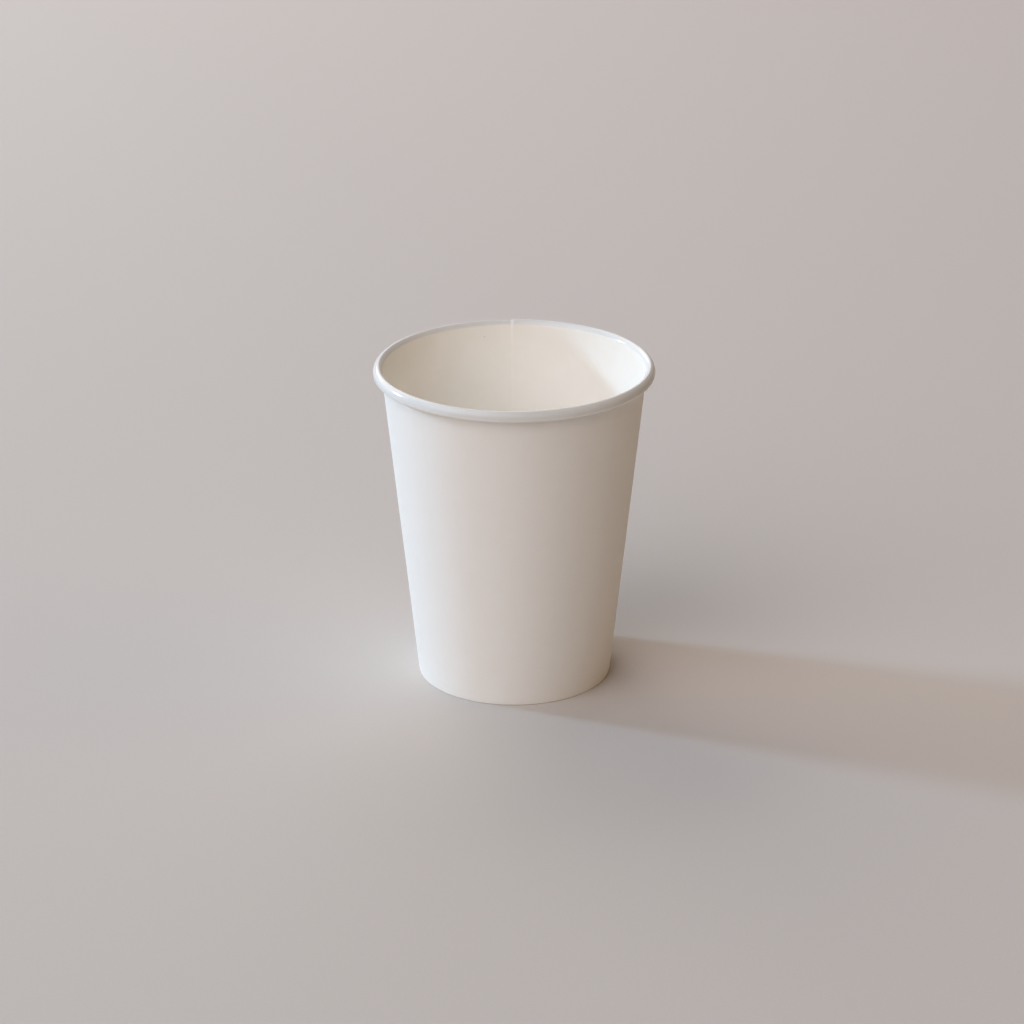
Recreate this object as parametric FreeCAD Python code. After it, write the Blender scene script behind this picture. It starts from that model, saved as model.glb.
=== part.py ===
"""Paper coffee cup of about 240 ml, made the way a cup machine makes it, in millimetres.

Two pieces of coated board: a fan-shaped blank wrapped into a cone, and a round bottom with a turned-down skirt.
The side blank laps over itself at one seam. Its top edge is rolled outwards into the rim, and its foot is
folded inwards and up, so that it grips the skirt. The cup stands on that fold, centred on the origin, +Z up,
with the seam at the back, towards +Y.
"""
import FreeCAD, Part
import math
import os

# The cup over all
height = 93.5            # floor to the top of the rim
rim_diameter = 80.0      # over the rolled rim
base_diameter = 55.5     # over the outside of the wall, where it meets the floor

# Board
wall_board = 0.35        # thickness of the side blank
bottom_board = 0.30      # thickness of the bottom blank
seal_gap = 0.02          # coating between two faces that are sealed together

# Rolled rim
roll_hollow = 0.32       # radius of the hollow left in the roll where the board is double
roll_gap = 0.06          # clearance between the turns of the roll where the board is double
crest_hollow = 0.05      # radius left inside the crest of the roll where the board is double
crest_turn = 60          # how far the crest bends, in degrees
roll_side = 0.2          # straight outer side of the roll
roll_tuck = 0.45         # board that runs back up inside the roll, beside the wall

# Foot
bottom_height = 7.4      # floor to the underside of the bottom
bottom_bend = 0.7        # inside radius where the bottom turns down into its skirt
hem_clearance = 0.15     # from the top edge of the hem up to the bend of the bottom
foot_press = 0.08        # how much of the fold is pressed flat against the floor

# Side seam
seam_bearing = 91.2      # direction of the inner end of the side blank, in degrees from +X
lap_width = 6.5          # overlap of the two ends, at the cup's mean radius
lap_rise = 2.6           # length over which the outer end climbs onto the inner one
rise_sections = 7        # sections that shape the climb

# Radii of the roll's bends, measured on the face that shows. The crest has an equal flank on each side.
under_radius = roll_hollow + 2 * wall_board
crest_radius = crest_hollow + 2 * wall_board
roll_width = 2 * (under_radius + wall_board) + roll_gap
flank_turn = 90 - crest_turn / 2
flank_lean = math.radians(flank_turn)
flank_radius = (roll_width / 2 - crest_radius * math.cos(flank_lean)) / (1 - math.cos(flank_lean))

# Slope of the wall, so that its inner face runs into the inner flank, whose centre is here
flank_r = rim_diameter / 2 - roll_width + flank_radius
flank_z = height - crest_radius - (flank_radius - crest_radius) * math.sin(flank_lean)
slope_run = flank_r - base_diameter / 2
slope = math.acos((flank_radius - wall_board) / math.hypot(slope_run, flank_z)) - math.atan2(flank_z, slope_run)
slope_deg = math.degrees(slope)

# The fold at the foot wraps the skirt, which ends above the fold where the board is double
fold_radius = bottom_board / 2 + seal_gap
bend_outside = bottom_bend + bottom_board
bend_z = bottom_height - bottom_bend

mean_radius = (rim_diameter + base_diameter) / 4
lap_angle = math.degrees(lap_width / mean_radius)
rise_angle = math.degrees(lap_rise / mean_radius)

origin = FreeCAD.Vector(0, 0, 0)
up_axis = FreeCAD.Vector(0, 0, 1)


def wall_inner_radius(z):
    """Radius of the wall's inner face at a height."""
    return base_diameter / 2 - wall_board / math.cos(slope) + z * math.tan(slope)


def heading_vector(heading):
    """Unit vector in the section plane. Heading 0 points away from the axis and 90 points up."""
    return FreeCAD.Vector(math.cos(math.radians(heading)), 0, math.sin(math.radians(heading)))


def right_of(heading):
    """Unit vector to the right of a heading."""
    return heading_vector(heading - 90)


def point_inside_wall(z, distance):
    """Point at a height, at a distance from the wall's inner face."""
    return FreeCAD.Vector(wall_inner_radius(z) - distance / math.cos(slope), 0, z)


def fold_centre(thickness):
    """Centre of the fold at the foot, where the board there is of a thickness."""
    return point_inside_wall(fold_radius + thickness - foot_press, fold_radius)


def along_wall(point):
    """How far up the wall's slope a point lies."""
    return point.x * math.sin(slope) + point.z * math.cos(slope)


up_wall = 90 - slope_deg
down_wall = up_wall - 180


def follow(start, heading, moves, offset):
    """Edges of a path of straights and bends, shifted to its right by an offset.

    A straight is ("run", length). A bend is ("bend", radius, angle), and its angle is positive to the left.
    """
    position = start
    edges = []
    for kind, size, *angle in moves:
        if kind == "run":
            end = position + heading_vector(heading) * size
            shift = right_of(heading) * offset
            edges.append(Part.LineSegment(position + shift, end + shift).toShape())
            position = end
            continue
        turn = angle[0]
        outward = size if turn > 0 else -size
        centre = position - right_of(heading) * outward
        stops = [heading, heading + turn / 2, heading + turn]
        shifted = [centre + right_of(h) * (outward + offset) for h in stops]
        edges.append(Part.Arc(*shifted).toShape())
        heading += turn
        position = centre + right_of(heading) * outward
    return edges


def sheet_section(start, heading, moves, near, far, bearing=0):
    """Closed section of a sheet between two offsets from its path, turned to a bearing about the axis."""
    near_edges = follow(start, heading, moves, near)
    far_edges = follow(start, heading, moves, far)
    first_cap = Part.LineSegment(far_edges[0].Vertexes[0].Point, near_edges[0].Vertexes[0].Point)
    last_cap = Part.LineSegment(near_edges[-1].Vertexes[-1].Point, far_edges[-1].Vertexes[-1].Point)
    wire = Part.Wire([first_cap.toShape(), *near_edges, last_cap.toShape(), *reversed(far_edges)])
    wire.rotate(origin, up_axis, bearing)
    return wire


def spin_section(wire, angle):
    """Solid swept by a section about the cup's axis."""
    return Part.Face(wire).revolve(origin, up_axis, angle)


def wall_section(near, far, bearing):
    """Section of the side blank: hem, fold, wall and roll. Its path is the coated face."""
    fold = fold_centre(far)
    hem_length = along_wall(point_inside_wall(bend_z, fold_radius)) - along_wall(fold) - hem_clearance
    hem_top = fold - right_of(up_wall) * fold_radius + heading_vector(up_wall) * hem_length
    wall_length = along_wall(FreeCAD.Vector(flank_r, 0, flank_z)) - along_wall(fold)
    moves = [
        ("run", hem_length),
        ("bend", fold_radius, 180),
        ("run", wall_length),
        ("bend", flank_radius, -(flank_turn - slope_deg)),
        ("bend", crest_radius, -crest_turn),
        ("bend", flank_radius, -flank_turn),
        ("run", roll_side),
        ("bend", under_radius, -(180 + slope_deg)),
        ("run", roll_tuck),
    ]
    return sheet_section(hem_top, down_wall, moves, near, far, bearing)


def climb(share):
    """Smooth rise from 0 to 1."""
    return share * share * (3 - 2 * share)


def make_side_wall():
    """One wrapped blank: a single turn, a double stretch at the lap, and the climb of its outer end."""
    single = spin_section(
        wall_section(0, wall_board, seam_bearing + rise_angle), 360 - lap_angle - rise_angle
    )
    double = spin_section(wall_section(0, 2 * wall_board, seam_bearing - lap_angle), lap_angle)
    sections = []
    for step in range(rise_sections):
        share = step / (rise_sections - 1)
        lift = wall_board * (1 - climb(share))
        sections.append(wall_section(lift, lift + wall_board, seam_bearing + share * rise_angle))
    rise = Part.makeLoft(sections, True, False)
    wall = single.fuse([double, rise])
    below_floor = Part.makeBox(rim_diameter, rim_diameter, height)
    below_floor.translate(FreeCAD.Vector(-rim_diameter / 2, -rim_diameter / 2, -height))
    return wall.cut(below_floor).removeSplitter().Solids[0]


def make_base_disc():
    """The bottom blank: a flat disc, a bend, and a skirt that runs down between the wall and its hem."""
    bend_centre = point_inside_wall(bend_z, bend_outside + seal_gap)
    skirt_length = along_wall(bend_centre) - along_wall(fold_centre(2 * wall_board))
    moves = [
        ("run", bend_centre.x),
        ("bend", bend_outside, -(90 + slope_deg)),
        ("run", skirt_length),
    ]
    centre = FreeCAD.Vector(0, 0, bottom_height + bottom_board)
    return spin_section(sheet_section(centre, 0, moves, 0, bottom_board), 360)


os.makedirs("parts", exist_ok=True)
for name, shape in {"side_wall": make_side_wall(), "base_disc": make_base_disc()}.items():
    shape.exportStep(f"parts/{name}.step")
    print(name, shape.ShapeType, len(shape.Solids), "solid,", len(shape.Faces), "faces,", round(shape.Volume, 1))
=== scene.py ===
import math
import bmesh
import bpy
from mathutils import Matrix, Vector, noise


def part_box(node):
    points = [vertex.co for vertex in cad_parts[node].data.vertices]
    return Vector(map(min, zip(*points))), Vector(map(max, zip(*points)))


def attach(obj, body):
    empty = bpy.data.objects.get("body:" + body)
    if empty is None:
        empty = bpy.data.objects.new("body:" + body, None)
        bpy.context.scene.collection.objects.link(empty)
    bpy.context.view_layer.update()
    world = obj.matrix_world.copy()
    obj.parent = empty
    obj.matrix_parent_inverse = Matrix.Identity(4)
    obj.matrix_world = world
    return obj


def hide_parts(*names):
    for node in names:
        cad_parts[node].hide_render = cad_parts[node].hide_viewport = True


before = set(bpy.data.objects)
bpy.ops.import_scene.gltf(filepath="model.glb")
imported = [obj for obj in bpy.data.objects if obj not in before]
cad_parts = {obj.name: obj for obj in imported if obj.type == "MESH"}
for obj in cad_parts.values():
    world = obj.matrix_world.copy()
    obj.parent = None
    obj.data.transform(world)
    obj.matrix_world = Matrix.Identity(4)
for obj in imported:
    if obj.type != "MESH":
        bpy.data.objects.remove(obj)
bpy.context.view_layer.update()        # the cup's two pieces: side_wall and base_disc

# A plain paper coffee cup, in metres. The side is one sheet of board. Its section is drawn once, as the line
# of the coated face, and then wound about the axis by one turn and a bit more, so that its two ends lap at
# the back.

mm = 0.001
hair = 0.001 * mm                  # less than any distance that is built
quarterTurn = math.pi / 2
fullTurn = 2 * math.pi
axisUp = Vector((0, 0, 1))
sectionAxis = Vector((0, -1, 0))   # a turn about it takes +X towards +Z
sharpAngle = math.radians(50)      # only the corners of the cut edges are sharper
cornerSteps = 2                    # faces across a softened corner


def direction(heading):   # in the section's plane: 0 points away from the axis, a quarter turn points up
    return Vector((math.cos(heading), 0, math.sin(heading)))


def outwardFrom(place):   # level and away from the axis
    return Vector((place.x, place.y, 0)).normalized()


def climb(share):   # smooth rise from 0 to 1
    share = min(max(share, 0), 1)
    return share * share * (3 - 2 * share)


def ripple(place):   # smooth noise from 0 to 1
    return noise.noise(place) / 2 + 0.5


def onlyVerts(geometry):
    return [item for item in geometry if isinstance(item, bmesh.types.BMVert)]


def runOn(bm, tip, heading, length, steps):   # carries a section on in a straight line
    for step in range(steps):
        tip = bmesh.ops.extrude_vert_indiv(bm, verts=[tip])["verts"][0]
        bmesh.ops.translate(bm, verts=[tip], vec=direction(heading) * (length / steps))
    return tip


def bendOn(bm, tip, heading, radius, turn, steps):   # carries it on round a bend, to the left if turn > 0
    centre = tip.co + direction(heading + quarterTurn) * math.copysign(radius, turn)
    made = bmesh.ops.spin(bm, geom=[tip], cent=centre, axis=sectionAxis, angle=turn, steps=steps)
    return onlyVerts(made["geom_last"])[0]


def turnFaces(bm, sample, wanted):   # turns all faces so that the sample looks the wanted way
    bmesh.ops.recalc_face_normals(bm, faces=bm.faces)
    if sample.normal.dot(wanted) < 0:
        bmesh.ops.reverse_faces(bm, faces=bm.faces)
    bm.normal_update()


def thicken(bm, board):   # gives the coated face its board, and sorts the faces by finish
    coated = set(bm.faces)
    sheetVerts = set(bm.verts)
    bmesh.ops.solidify(bm, geom=list(bm.faces), thickness=board)
    for face in bm.faces:
        if face in coated:
            face.material_index = 0
        elif any(vert in sheetVerts for vert in face.verts):
            face.material_index = 2   # the cut edges, which join the two skins
        else:
            face.material_index = 1
    return [vert for vert in bm.verts if vert not in sheetVerts]


def softenCuts(bm, width):   # rounds the corners of the cut edges a little
    sharp = [edge for edge in bm.edges if edge.calc_face_angle(0) > sharpAngle]
    bmesh.ops.bevel(
        bm, geom=sharp, offset=width, offset_type="OFFSET", segments=cornerSteps, profile=0.5,
        affect="EDGES", material=-1, clamp_overlap=True,
    )


def finishPiece(bm, name):   # turns a bmesh into a smooth piece that rides on the cup
    for face in bm.faces:
        face.smooth = True
    mesh = bpy.data.meshes.new(name)
    bm.to_mesh(mesh)
    bm.free()
    for finish in (coatedBoard, bareBoard, cutBoard):
        mesh.materials.append(finish)
    piece = bpy.data.objects.new(name, mesh)
    bpy.context.scene.collection.objects.link(piece)
    shading = piece.modifiers.new("flatSheetShading", "WEIGHTED_NORMAL")
    shading.keep_sharp = True
    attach(piece, "root")
    print(name, "has", len(mesh.polygons), "faces")
    return piece


# Finishes

class Value:   # a number or colour on its way through the nodes, so that shader maths reads as maths
    def __init__(self, tree, socket):
        self.tree = tree
        self.socket = socket

    def maths(self, operation, *terms):
        return self.tree.add("ShaderNodeMath", {"operation": operation}, dict(enumerate(terms)))

    def __add__(self, other):
        return self.maths("ADD", self, other)

    def __sub__(self, other):
        return self.maths("SUBTRACT", self, other)

    def __rsub__(self, other):
        return self.maths("SUBTRACT", other, self)

    def __mul__(self, other):
        return self.maths("MULTIPLY", self, other)

    def __lt__(self, other):
        return self.maths("LESS_THAN", self, other)

    def orIf(self, other):   # the larger of the two
        return self.maths("MAXIMUM", self, other)

    __radd__ = __add__
    __rmul__ = __mul__


class Nodes:   # a node tree, of a material or of the world
    def __init__(self, tree):
        self.nodes = tree.nodes
        self.links = tree.links

    def feed(self, socket, value):
        if isinstance(value, Value):
            self.links.new(value.socket, socket)
        else:
            socket.default_value = value

    def add(self, kind, settings, inputs, output=0):
        node = self.nodes.new(kind)
        for key, value in settings.items():
            if key == "stops":
                for stop, (position, shade) in zip(node.color_ramp.elements, value):
                    stop.position = position
                    stop.color = (*shade, 1)
            else:
                setattr(node, key, value)
        for key, value in inputs.items():
            self.feed(node.inputs[key], value)
        return Value(self, node.outputs[output])


class Finish(Nodes):   # one material, on its principled shader
    noiseRange = (0.3, 0.7)   # nearly all of a cloud lies in it

    def __init__(self, name, specular):
        self.material = bpy.data.materials.new(name)
        self.material.use_nodes = True
        super().__init__(self.material.node_tree)
        self.shader = self.nodes["Principled BSDF"]
        self.place = self.add("ShaderNodeTexCoord", {}, {}, "Object")
        self.feed(self.shader.inputs["Specular IOR Level"], specular)

    def cloud(self, size, detail):   # noise from 0 to 1, with features about this large
        inputs = {"Vector": self.place, "Scale": 1 / size, "Detail": detail, "Roughness": 0.6}
        return self.add("ShaderNodeTexNoise", {}, inputs, "Fac")

    def vectorMaths(self, operation, first, second=(0, 0, 0), output="Value"):
        inputs = {0: first, 1: second}
        return self.add("ShaderNodeVectorMath", {"operation": operation}, inputs, output)

    def fleck(self, centre, radius):   # 1 inside a tiny ball, 0 elsewhere
        return self.vectorMaths("DISTANCE", self.place, centre) < radius

    def rising(self, value, start, end):   # climbs smoothly from 0 to 1 between two values
        smooth = {"interpolation_type": "SMOOTHSTEP"}
        inputs = {"Value": value, "From Min": start, "From Max": end}
        return self.add("ShaderNodeMapRange", smooth, inputs, "Result")

    def above(self, low, high):   # between two heights
        height = self.add("ShaderNodeSeparateXYZ", {}, {"Vector": self.place}, "Z")
        return self.rising(height, low, high)

    def outside(self, near, far):   # between two distances from the axis
        level = self.vectorMaths("MULTIPLY", self.place, (1, 1, 0), "Vector")
        return self.rising(self.vectorMaths("LENGTH", level), near, far)

    def tint(self, amount, low, high):   # from one colour to another
        ramp = {"stops": list(zip(self.noiseRange, (low, high)))}
        return self.add("ShaderNodeValToRGB", ramp, {"Fac": amount}, "Color")

    def shift(self, amount, first, second):   # from one tint to another
        return self.add("ShaderNodeMix", {"data_type": "RGBA"}, {"Factor": amount, 6: first, 7: second}, 2)

    def relief(self, height, depth):   # bump of a height in metres
        inputs = {"Height": height, "Distance": depth, "Strength": 1.0}
        self.feed(self.shader.inputs["Normal"], self.add("ShaderNodeBump", {}, inputs, "Normal"))

    def colour(self, value):
        self.feed(self.shader.inputs["Base Color"], value)

    def gloss(self, value):
        self.feed(self.shader.inputs["Roughness"], value)


bareLook = {   # the outside: uncoated white board, matte, with a faint fibre mottle
    "specular": 0.35,
    "fibre": (0.4 * mm, 4),         # size and detail
    "clouds": (5 * mm, 2),
    "fibreShare": 0.6,              # of the mottle; the clouds make the rest
    "colours": ((0.868, 0.862, 0.83), (0.896, 0.89, 0.86)),
    "roughness": 0.72,
    "roughnessSpread": 0.12,
    "relief": 0.01 * mm,
}
coatedLook = {   # the inside and the roll: the same board under a thin satin film
    "specular": 0.3,
    "peel": (0.9 * mm, 2),          # size and detail of the film's fine waves
    "clouds": (6 * mm, 2),
    "rollDistance": (38.0 * mm, 38.4 * mm),   # from the axis, where the roll's side begins
    "underHeight": (90.7 * mm, 91.7 * mm),    # the roll's lower bend
    "flankHeight": (91.9 * mm, 92.7 * mm),    # the inner flank
    "crestHeight": (93.1 * mm, 93.4 * mm),
    "flat": ((0.938, 0.924, 0.872), (0.956, 0.942, 0.894)),
    "rolled": ((0.711, 0.734, 0.729), (0.733, 0.756, 0.751)),   # painted shade: greyer and cooler over the roll, standing in for the light lost inside the hollow roll and the cool light on its top
    # painted shade: darker still on the crest, whose top catches light from every lamp above
    "crest": ((0.674, 0.694, 0.69), (0.694, 0.714, 0.71)),
    "fleckPlace": (-8.6 * mm, 35.86 * mm, 89.06 * mm),   # a dark fibre under the film, by the seam
    "fleckRadius": 0.17 * mm,
    "fleckColour": (0.66, 0.63, 0.58, 1),
    "roughness": 0.32,
    "roughnessSpread": 0.06,
    "stretchedGloss": 0.22,         # taken off the roughness over the roll, where the shade is painted too
    "relief": 0.005 * mm,
}
cutLook = {   # the cut edges: open fibres, a little warmer
    "specular": 0.2,
    "fibre": (0.12 * mm, 3),
    "colours": ((0.8, 0.77, 0.7), (0.9, 0.87, 0.81)),
    "roughness": 0.85,
    "roughnessSpread": 0.1,
    "relief": 0.02 * mm,
}


def makeBareBoard(look):
    board = Finish("bareBoard", look["specular"])
    fibre = board.cloud(*look["fibre"])
    clouds = board.cloud(*look["clouds"])
    mottle = look["fibreShare"] * fibre + (1 - look["fibreShare"]) * clouds
    board.colour(board.tint(mottle, *look["colours"]))
    board.gloss(look["roughness"] + look["roughnessSpread"] * fibre)
    board.relief(fibre, look["relief"])
    return board.material


def makeCoatedBoard(look):
    coated = Finish("coatedBoard", look["specular"])
    peel = coated.cloud(*look["peel"])
    clouds = coated.cloud(*look["clouds"])
    rollSide = coated.outside(*look["rollDistance"]) * coated.above(*look["underHeight"])
    rollShadeAndGloss = rollSide.orIf(coated.above(*look["flankHeight"]))   # over the roll and down its side: where the roll's painted shade and its lower roughness go
    crestShade = coated.above(*look["crestHeight"])
    fleck = coated.fleck(look["fleckPlace"], look["fleckRadius"])
    flat = coated.shift(fleck, coated.tint(clouds, *look["flat"]), look["fleckColour"])
    # the roll's painted shade: greyer and cooler than the flat board, and darker still on the crest
    rolled = coated.tint(clouds, *look["rolled"])
    crest = coated.tint(clouds, *look["crest"])
    # paints the shade over the roll, and the darker shade on its crest
    coated.colour(coated.shift(rollShadeAndGloss, flat, coated.shift(crestShade, rolled, crest)))
    flatRoughness = look["roughness"] + look["roughnessSpread"] * peel
    coated.gloss(flatRoughness - look["stretchedGloss"] * rollShadeAndGloss)
    coated.relief(peel, look["relief"])
    return coated.material


def makeCutBoard(look):
    cut = Finish("cutBoard", look["specular"])
    fibre = cut.cloud(*look["fibre"])
    cut.colour(cut.tint(fibre, *look["colours"]))
    cut.gloss(look["roughness"] + look["roughnessSpread"] * fibre)
    cut.relief(fibre, look["relief"])
    return cut.material


bareBoard = makeBareBoard(bareLook)
coatedBoard = makeCoatedBoard(coatedLook)
cutBoard = makeCutBoard(cutLook)
print("finishes made")


# The side

side = {
    "height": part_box("side_wall")[1].z,
    "rimRadius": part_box("side_wall")[1].y - 0.02 * mm,   # a little inside the solid's rim
    "baseRadius": 27.75 * mm,       # outside of the wall at the floor
    "board": 0.35 * mm,
    "glue": 0.01 * mm,              # between the two layers of the lap
    "rollWidth": 2.8 * mm,          # from the wall's coated face to the outside of the roll
    "rollHeight": 3.1 * mm,
    "crestRadius": 0.75 * mm,       # the tight bend along the top, between two equal flanks
    "crestTurn": math.radians(60),
    "rollSide": 0.2 * mm,           # straight stretch on the outside
    "underRadius": 1.02 * mm,       # lower bend
    "tuck": 0.45 * mm,              # end of the roll, beside the wall
    "foldRadius": 0.17 * mm,        # inside of the fold at the foot
    "foldPress": 0.08 * mm,         # how much of the fold is pressed flat
    "hemTop": 6.55 * mm,            # height of the hem's top edge
    "seamBearing": math.radians(91.2),
    "lapWidth": 6.5 * mm,
    "lapRise": 6.0 * mm,            # length over which the outer end climbs onto the inner one
    "wallPress": 0.4,               # share of its thickness that the board loses in the lap on the wall
    "rollPress": 0.3,               # and in the lap on the roll
    "endWidth": 0.4 * mm,           # strip that slopes down to the inner cut end
    "wallDrop": 0.05 * mm,          # by this much on the wall
    "rollDrop": 0.18 * mm,          # and by this much on the roll
    "cutSoftness": 0.05 * mm,
    "rimDip": 0.12 * mm,            # how far the rim dips in places, at most
    "rimPull": 0.1 * mm,            # how far it leans in, at most
    "rimWaves": 2.2,                # how quickly that changes along the rim
}
sectionSteps = {
    "hem": 4, "fold": 12, "wall": 30, "flank": 10, "crest": 10, "rollSide": 1, "under": 16, "tuck": 2,
}
windingSteps = {"end": 4, "lap": 10, "rise": 12, "single": 228}


def flankCentre(sizes):   # radius of the roll's two flanks, and the centre of the inner one
    lean = quarterTurn - sizes["crestTurn"] / 2
    crest = sizes["crestRadius"]
    radius = (sizes["rollWidth"] / 2 - crest * math.cos(lean)) / (1 - math.cos(lean))
    height = sizes["height"] - crest - (radius - crest) * math.sin(lean)
    return radius, Vector((sizes["rimRadius"] - sizes["rollWidth"] + radius, 0, height))


def wallSlope(sizes):   # so that the wall's inner face runs into the inner flank of the roll
    radius, centre = flankCentre(sizes)
    reach = centre - Vector((sizes["baseRadius"], 0, 0))
    return math.acos((radius - sizes["board"]) / reach.length) - math.atan2(reach.z, reach.x)


def drawSideSection(bm, sizes, slope):   # hem, fold, wall and roll
    board, foldRadius, crestTurn = sizes["board"], sizes["foldRadius"], sizes["crestTurn"]
    upWall = quarterTurn - slope
    foldZ = foldRadius + board - sizes["foldPress"]
    foldR = sizes["baseRadius"] + foldZ * math.tan(slope) - (board + foldRadius) / math.cos(slope)
    foldCentre = Vector((foldR, 0, foldZ))
    flankRadius, flankMiddle = flankCentre(sizes)
    lean = quarterTurn - crestTurn / 2
    wallLength = (flankMiddle - foldCentre).dot(direction(upWall))
    hemLength = (sizes["hemTop"] - foldZ) / math.cos(slope)
    hemFoot = foldCentre + direction(upWall + quarterTurn) * foldRadius
    tip = bm.verts.new(hemFoot + direction(upWall) * hemLength)
    tip = runOn(bm, tip, upWall - math.pi, hemLength, sectionSteps["hem"])
    tip = bendOn(bm, tip, upWall - math.pi, foldRadius, math.pi, sectionSteps["fold"])
    tip = runOn(bm, tip, upWall, wallLength, sectionSteps["wall"])
    tip = bendOn(bm, tip, upWall, flankRadius, slope - lean, sectionSteps["flank"])
    tip = bendOn(bm, tip, crestTurn / 2, sizes["crestRadius"], -crestTurn, sectionSteps["crest"])
    tip = bendOn(bm, tip, -crestTurn / 2, flankRadius, -lean, sectionSteps["flank"])
    tip = runOn(bm, tip, -quarterTurn, sizes["rollSide"], sectionSteps["rollSide"])
    tip = bendOn(bm, tip, -quarterTurn, sizes["underRadius"], -math.pi - slope, sectionSteps["under"])
    runOn(bm, tip, upWall, sizes["tuck"], sectionSteps["tuck"])


def windSection(bm, travel, stretches):   # winds it clockwise, and notes how far each point went
    column = list(bm.verts) + list(bm.edges)
    gone = 0
    for angle, steps in stretches:
        for step in range(steps):
            gone += angle / steps
            made = bmesh.ops.spin(bm, geom=column, cent=(0, 0, 0), axis=-axisUp, angle=angle / steps, steps=1)
            column = made["geom_last"]
            for vert in onlyVerts(column):
                vert[travel] = gone


def onRoll(sizes, z):   # rises from 0 to 1 over one roll's height below the roll
    return climb((z - sizes["height"]) / sizes["rollHeight"] + 2)


def byHeight(sizes, z, onWall, onTheRoll):   # 0 up to the hem's top, then the wall's value, then the roll's
    rolled = onRoll(sizes, z)
    return onWall * climb(z / sizes["hemTop"] - 1) * (1 - rolled) + onTheRoll * rolled


def unevenRim(bm, sizes):   # the rim dips and leans in a little, as a rolled edge does
    for vert in bm.verts:
        rolled = onRoll(sizes, vert.co.z)
        outward = outwardFrom(vert.co)
        dip = ripple(outward * sizes["rimWaves"])
        pull = ripple((outward + axisUp) * sizes["rimWaves"])
        vert.co -= axisUp * sizes["rimDip"] * dip * rolled + outward * sizes["rimPull"] * pull * rolled
    bm.normal_update()


def makeSideWall(sizes):
    slope = wallSlope(sizes)
    board = sizes["board"]
    meanRadius = (sizes["rimRadius"] + sizes["baseRadius"]) / 2
    lap, rise, end = (sizes[key] / meanRadius for key in ("lapWidth", "lapRise", "endWidth"))
    bm = bmesh.new()
    travel = bm.verts.layers.float.new("travel")
    away = bm.verts.layers.float_vector.new("away")   # from the coated face into the board
    loss = bm.verts.layers.float.new("loss")          # thickness that the board has lost
    drawSideSection(bm, sizes, slope)
    bmesh.ops.rotate(bm, verts=bm.verts, cent=(0, 0, 0), matrix=Matrix.Rotation(sizes["seamBearing"], 3, "Z"))
    windSection(bm, travel, [
        (end, windingSteps["end"]), (lap - end, windingSteps["lap"]), (rise, windingSteps["rise"]),
        (fullTurn - lap - 2 * rise, windingSteps["single"]),
        (rise, windingSteps["rise"]), (lap, windingSteps["lap"]),
    ])
    wallFace = min(bm.faces, key=lambda face: abs(face.calc_center_median().z - sizes["height"] / 2))
    turnFaces(bm, wallFace, -wallFace.calc_center_median())
    unevenRim(bm, sizes)
    foldTop = sizes["foldRadius"] + board - sizes["foldPress"] + hair
    for vert in bm.verts:
        vert[away] = -vert.normal
        climbing = climb((vert[travel] - fullTurn + rise) / rise)
        leaving = 1 - climb((vert[travel] - lap) / rise)
        doubled = max(climbing, leaving)
        thinned = board * byHeight(sizes, vert.co.z, sizes["wallPress"], sizes["rollPress"])
        drop = byHeight(sizes, vert.co.z, sizes["wallDrop"], sizes["rollDrop"])
        dropped = drop * max(1 - vert[travel] / end, 0)
        if vert.co.z < foldTop:   # the fold stands higher where two layers pass under it
            vert.co += (axisUp * math.cos(slope) + outwardFrom(vert.co) * math.sin(slope)) * board * doubled
        vert.co += vert[away] * ((board + sizes["glue"] - thinned) * climbing + dropped)
        vert[loss] = thinned * doubled + dropped
    for vert in thicken(bm, board):
        vert.co -= vert[away] * vert[loss]
    for vert in bm.verts:
        vert.co.z = max(vert.co.z, 0)   # the foot is pressed flat
    softenCuts(bm, sizes["cutSoftness"])
    return finishPiece(bm, "sideWall")


sideWall = makeSideWall(side)
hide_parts("side_wall")


# The bottom

bottom = {
    "board": 0.3 * mm,
    "topHeight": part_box("base_disc")[1].z,
    "bendRadius": 1.0 * mm,         # outside of the bend into the skirt
    "seal": 0.02 * mm,              # between the skirt and the wall
    "skirtFoot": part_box("base_disc")[0].z,
}
bottomSteps = {"flat": 12, "bend": 10, "skirt": 4, "round": 180}


def makeBaseDisc(sizes):
    slope = wallSlope(side)
    bendZ = sizes["topHeight"] - sizes["bendRadius"]
    wallInside = side["baseRadius"] - side["board"] / math.cos(slope) + bendZ * math.tan(slope)
    bendR = wallInside - (sizes["bendRadius"] + sizes["seal"]) / math.cos(slope)
    downSkirt = -quarterTurn - slope
    bm = bmesh.new()
    tip = bm.verts.new((0, 0, sizes["topHeight"]))
    tip = runOn(bm, tip, 0, bendR, bottomSteps["flat"])
    tip = bendOn(bm, tip, 0, sizes["bendRadius"], downSkirt, bottomSteps["bend"])
    skirtLength = (tip.co.z - sizes["skirtFoot"]) / math.cos(slope) - sizes["board"]
    runOn(bm, tip, downSkirt, skirtLength, bottomSteps["skirt"])
    bmesh.ops.spin(
        bm, geom=list(bm.verts) + list(bm.edges), cent=(0, 0, 0), axis=axisUp, angle=fullTurn,
        steps=bottomSteps["round"], use_merge=True,
    )
    bmesh.ops.remove_doubles(bm, verts=bm.verts, dist=hair)
    turnFaces(bm, min(bm.faces, key=lambda face: face.calc_center_median().xy.length), axisUp)
    thicken(bm, sizes["board"])
    softenCuts(bm, side["cutSoftness"])
    return finishPiece(bm, "baseDisc")


baseDisc = makeBaseDisc(bottom)
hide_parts("base_disc")


# The stage

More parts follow.
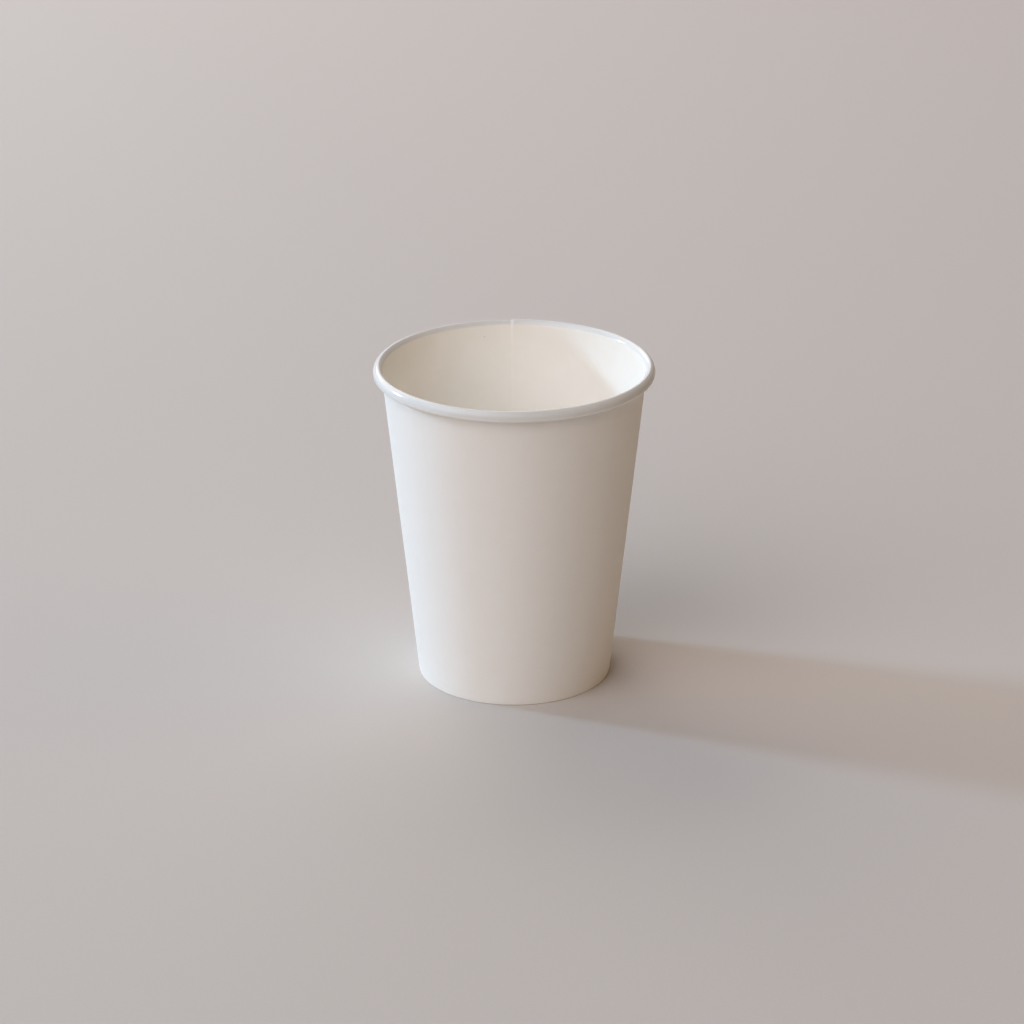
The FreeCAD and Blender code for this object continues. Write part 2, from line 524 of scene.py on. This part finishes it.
studio = {
    "floorSize": 30.0,
    "floorSpecular": 0.2,
    "floorRoughness": 0.9,
    "floorGrain": (0.8 * mm, 3),    # size and detail
    "floorColours": ((0.54, 0.516, 0.493), (0.558, 0.535, 0.511)),
    "backColour": (0.5, 0.47, 0.45, 1),
    "ambient": (0.02, 0.02, 0.02, 1),
}
lamps = {   # degrees and metres; a lamp at level 1 shows a white that faces it as white
    "keyLamp": {"bearing": 161.1, "height": 21, "distance": 2.2, "size": 0.255, "shape": "DISK",
                "colour": (0.444, 0.725, 1.0), "level": 0.484},
    "frontLamp": {"bearing": 225, "height": 45, "distance": 4.0, "size": 4.0, "shape": "SQUARE",
                  "colour": (0.85, 0.893, 1.0), "level": 0.63},
    "warmFrontLamp": {"bearing": 245, "height": 34, "distance": 6.0, "size": 7.0, "shape": "SQUARE",
                      "colour": (1.0, 0.729, 0.522), "level": 0.347},
    "backLamp": {"bearing": 100, "height": 35, "distance": 2.6, "size": 2.2, "shape": "SQUARE",
                 "colour": (1.0, 0.915, 0.982), "level": 0.281},
    "warmBackLamp": {"bearing": 130, "height": 35, "distance": 2.6, "size": 2.2, "shape": "SQUARE",
                     "colour": (1.0, 0.865, 0.718), "level": 0.401},
    "warmSideLamp": {"bearing": 0, "height": 30, "distance": 6.0, "size": 4.2, "shape": "SQUARE",
                     "colour": (1.0, 0.525, 0.093), "level": 0.118},
}


def makeFloor():
    bm = bmesh.new()
    bmesh.ops.create_grid(bm, x_segments=1, y_segments=1, size=studio["floorSize"] / 2)
    mesh = bpy.data.meshes.new("floor")
    bm.to_mesh(mesh)
    bm.free()
    paper = Finish("floorPaper", studio["floorSpecular"])
    paper.colour(paper.tint(paper.cloud(*studio["floorGrain"]), *studio["floorColours"]))
    paper.gloss(studio["floorRoughness"])
    mesh.materials.append(paper.material)
    floor = bpy.data.objects.new("floor", mesh)
    bpy.context.scene.collection.objects.link(floor)


def hangLamp(name, bearing, height, distance, size, shape, colour, level):
    lamp = bpy.data.lights.new(name, "AREA")
    lamp.shape = shape
    lamp.size = size
    lamp.color = colour
    lamp.energy = level * math.pi ** 2 * distance ** 2
    holder = bpy.data.objects.new(name, lamp)
    towards = Matrix.Rotation(math.radians(bearing), 3, "Z") @ direction(math.radians(height))
    holder.location = towards * distance
    holder.rotation_euler = towards.to_track_quat("Z", "Y").to_euler()
    bpy.context.scene.collection.objects.link(holder)


def lightTheRoom():   # the backdrop is only seen, directly and in reflections; the lamps give the light
    world = bpy.data.worlds.new("room")
    bpy.context.scene.world = world
    world.use_nodes = True
    room = Nodes(world.node_tree)
    ambient = room.add("ShaderNodeBackground", {}, {"Color": studio["ambient"]})
    backdrop = room.add("ShaderNodeBackground", {}, {"Color": studio["backColour"]})
    looks = ("Is Camera Ray", "Is Glossy Ray", "Is Transmission Ray")
    seen = sum(room.add("ShaderNodeLightPath", {}, {}, look) for look in looks)
    both = room.add("ShaderNodeMixShader", {}, {"Fac": seen, 1: ambient, 2: backdrop})
    room.feed(room.nodes["World Output"].inputs["Surface"], both)
    for name, settings in lamps.items():
        hangLamp(name, **settings)


camera = {
    "place": Vector((-0.66, -965.15, 439.57)) * mm,
    "pitch": math.radians(22.07),    # below the horizon
    "roll": math.radians(-0.105),
    "focalPixels": 3626,
    "framePixels": 1024,
}


def setUpCamera():
    lens = bpy.data.cameras.new("camera")
    lens.lens = camera["focalPixels"] / camera["framePixels"] * lens.sensor_width
    holder = bpy.data.objects.new("camera", lens)
    turn = Matrix.Rotation(quarterTurn - camera["pitch"], 3, "X") @ Matrix.Rotation(camera["roll"], 3, "Z")
    holder.rotation_euler = turn.to_euler()
    holder.location = camera["place"]
    bpy.context.scene.collection.objects.link(holder)
    bpy.context.scene.camera = holder
    bpy.context.scene.view_settings.view_transform = "Standard"


makeFloor()
lightTheRoom()
setUpCamera()
print("stage, lamps and camera set")
